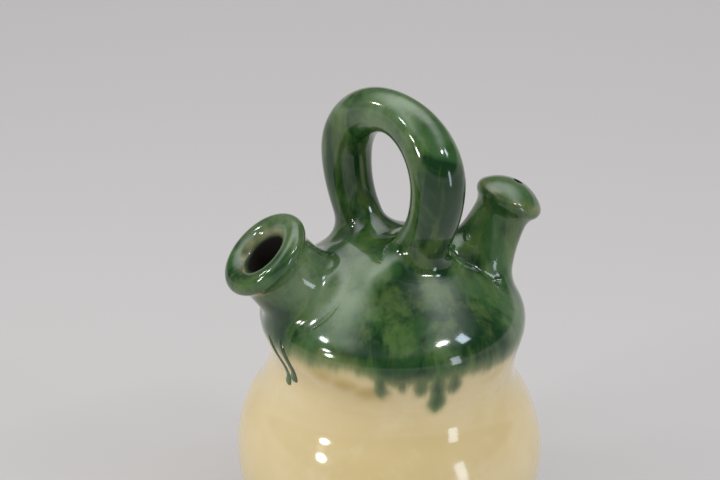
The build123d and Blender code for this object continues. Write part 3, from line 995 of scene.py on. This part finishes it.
def buildGlazeRuns():
    # beads half sunk in the skin, thin where they start and round where they froze
    points, faces, offset = [], [], 0
    share = np.linspace(0, 1, glazeRuns["rows"])
    knots = np.linspace(0, 1, 5)
    cubic = lambda values: np.polyval(np.polyfit(knots, values, 3), share)
    extra, place, length = glazeRuns["drop"]
    start, end, deeper = glazeRuns["start"], glazeRuns["roundEnd"], glazeRuns["deeper"]
    listed = (glazeRuns[k] for k in ("bearings", "heights", "radii", "sunk"))
    for bearings, heights, radius, sunk in zip(*listed):
        line = skinAt(cubic(bearings), cubic(heights))
        along = np.gradient(line, axis=0)
        along /= np.linalg.norm(along, axis=1, keepdims=True)
        up = skinNormal(line)
        side = np.cross(along, up)
        size = radius * (start + (1 - start) * stepBetween(0, glazeRuns["full"], share))
        size = size * (1 + extra * np.exp(-((share - place) / length) ** 2))
        size = size * np.sqrt(np.clip(1 - ((share - 1 + end) / end).clip(0) ** 2, 0, 1))
        angles = np.arange(glazeRuns["columns"]) * tau / glazeRuns["columns"]
        rise = glazeRuns["flattened"] * np.sin(angles)
        ring = np.cos(angles)[:, None] * side[:, None] + rise[:, None] * up[:, None]
        sinking = 1 + deeper - deeper * stepBetween(0, glazeRuns["deeperUntil"], share)
        lowered = line - up * (sunk * sinking)[:, None]
        points.append((lowered[:, None] + size[:, None, None] * ring).reshape(-1, 3))
        points[-1][:glazeRuns["columns"]] = lowered[0]
        faces.append(gridFaces(len(share), glazeRuns["columns"], firstPole=True, lastPole=True) + offset)
        offset += len(points[-1])
    points = np.vstack(points)
    makePiece("glaze-runs", points, np.vstack(faces), greenGlaze, "green_glaze", "glaze_runs",
              green=np.full(len(points), glazeRuns["green"]))


buildLowerBody()
buildUpperBody()
buildWaistCoil()
buildMouth()
buildSpout()
buildHandle()
buildGlazeRuns()
print("pieces made")


# The floor, the light and the camera. Colours are linear, and lamps stand round the jug's middle.
studio = {
    "floor": (0.575, 0.56, 0.56), "backdrop": (0.57, 0.555, 0.56), "dim": (0.10, 0.11, 0.115),
    "ceiling": (2.5, 2.6, 2.6), "soft": (0.84, 0.84, 0.84), "shaded": (255, 66),
    "camera": (-0.2388, -0.6484, 0.5138), "looksAt": (-0.0139, 0.0048, 0.1769), "roll": 0.4, "lens": 85.0,
    "sensor": 36.0, "clip": (0.01, 50), "lightsAt": (0, 0, 0.11), "spread": np.radians(90),
    "rings": [0, 0.2, 0.5, 1.0, 2.0, 4.0, 7.0], "columns": 64, "floorRoughness": 0.9, "floorShine": 0.1,
    # heights of a direction between which the backdrop turns dim and the ceiling starts, and how far from
    # the shaded direction the ceiling is bright
    "dimFrom": (0.05, 0.16), "ceilingFrom": (0.50, 0.92), "brightFrom": (0.99, 0.75),
}
lamps = {
    # azimuth, elevation, distance, width, height, radiance and colour
    "left lamp": (196, 18, 1.2, 0.15, 0.15, 42, (1.0, 0.98, 0.95)),
    "left lamp above": (190, 27, 1.2, 0.15, 0.09, 34, (1.0, 0.98, 0.95)),
    "shoulder lamp": (150, 34, 1.2, 0.10, 0.10, 38, (1.0, 0.98, 0.95)),
    "shoulder lamp above": (177, 40, 1.2, 0.17, 0.08, 34, (0.95, 1.0, 1.0)),
    "right lamp": (306, 44, 1.2, 0.20, 0.09, 36, (1.0, 0.98, 0.95)),
    "right window": (325, 38, 1.2, 0.18, 0.17, 13, (0.72, 0.84, 1.0)),
    "tall window": (304, 7.4, 1.2, 0.16, 0.41, 7, (0.80, 0.87, 1.0)),
}


def buildFloor():
    # one large round sheet, closed by a single pole
    rows, columns = np.array(studio["rings"]), studio["columns"]
    points = turnedGrid(np.stack([rows, 0 * rows], -1), columns)
    mesh = bpy.data.meshes.new("floor")
    mesh.from_pydata(points.reshape(-1, 3).tolist(), [], gridFaces(len(rows), columns)[:, ::-1].tolist())
    mesh.validate()
    material = bpy.data.materials.new("pale floor")
    material.use_nodes = True
    shader = material.node_tree.nodes["Principled BSDF"]
    shader.inputs["Base Color"].default_value = (*studio["floor"], 1)
    shader.inputs["Roughness"].default_value = studio["floorRoughness"]
    shader.inputs["Specular IOR Level"].default_value = studio["floorShine"]
    mesh.materials.append(material)
    floor = bpy.data.objects.new("floor", mesh)
    scene.collection.objects.link(floor)


def towards(azimuth, elevation):
    turn, rise = np.radians((azimuth, elevation))
    return np.cos(rise) * np.cos(turn), np.cos(rise) * np.sin(turn), np.sin(rise)


def buildWorld():
    # the camera sees the backdrop, gloss mirrors it with a dim room over it and a bright ceiling, and what
    # lights the jug is soft
    world = bpy.data.worlds.new("room")
    scene.world = world
    world.use_nodes = True
    tree = world.node_tree
    tree.nodes.clear()
    way = node(tree, "ShaderNodeTexCoord").outputs["Generated"]
    height = node(tree, "ShaderNodeSeparateXYZ", {0: way}).outputs["Z"]
    shaded = towards(*studio["shaded"])
    facing = node(tree, "ShaderNodeVectorMath", {0: way, 1: shaded}, operation="DOT_PRODUCT")
    facing = facing.outputs["Value"]
    above = mixed(tree, between(tree, height, *studio["dimFrom"]), studio["backdrop"], studio["dim"])
    lit = sums(tree, "MULTIPLY", between(tree, height, *studio["ceilingFrom"]),
               between(tree, facing, *studio["brightFrom"]))
    above = mixed(tree, lit, above, studio["ceiling"])
    path = node(tree, "ShaderNodeLightPath")
    above = mixed(tree, path.outputs["Is Camera Ray"], above, studio["backdrop"])
    seen = node(tree, "ShaderNodeBackground", {"Color": above, "Strength": 1.0})
    soft = node(tree, "ShaderNodeBackground", {"Color": (*studio["soft"], 1), "Strength": 1.0})
    direct = sums(tree, "ADD", path.outputs["Is Camera Ray"], path.outputs["Is Glossy Ray"])
    direct = sums(tree, "ADD", direct, path.outputs["Is Transmission Ray"], clamp=True)
    mix = node(tree, "ShaderNodeMixShader", {0: direct})
    tree.links.new(soft.outputs[0], mix.inputs[1])
    tree.links.new(seen.outputs[0], mix.inputs[2])
    put = node(tree, "ShaderNodeOutputWorld")
    tree.links.new(mix.outputs[0], put.inputs["Surface"])


def addLamp(name, azimuth, elevation, distance, width, tall, radiance, colour):
    # an oval or a rectangle that faces the jug, with a grid that keeps its light off the floor beside it;
    # its power is radiance times area times pi, times what the grid lets through
    lamp = bpy.data.lights.new(name, "AREA")
    lamp.shape = "RECTANGLE" if "window" in name else "ELLIPSE"
    lamp.size, lamp.size_y = width, tall
    area = width * tall * (1 if "window" in name else np.pi / 4)
    half = studio["spread"] / 2
    lamp.spread = studio["spread"]
    lamp.energy = radiance * area * np.pi * (1 - half / np.tan(half))
    lamp.color = colour
    way = Vector(towards(azimuth, elevation))
    holder = bpy.data.objects.new(name, lamp)
    holder.location = Vector(studio["lightsAt"]) + way * distance
    holder.rotation_euler = (-way).to_track_quat("-Z", "Y").to_euler()
    holder.visible_camera = False
    scene.collection.objects.link(holder)


def buildLights():
    for name, values in lamps.items():
        addLamp(name, *values)


def buildCamera():
    data = bpy.data.cameras.new("camera")
    data.lens = studio["lens"]
    data.sensor_width = studio["sensor"]
    data.sensor_fit = "HORIZONTAL"
    camera = bpy.data.objects.new("camera", data)
    scene.collection.objects.link(camera)
    place, target = Vector(studio["camera"]), Vector(studio["looksAt"])
    turn = (target - place).to_track_quat("-Z", "Y").to_matrix()
    roll = Matrix.Rotation(np.radians(studio["roll"]), 3, "Z")
    camera.matrix_world = Matrix.Translation(place) @ (turn @ roll).to_4x4()
    data.clip_start, data.clip_end = studio["clip"]
    scene.camera = camera


buildFloor()
buildWorld()
buildLights()
buildCamera()
scene.view_settings.view_transform = "Standard"
print("studio made")
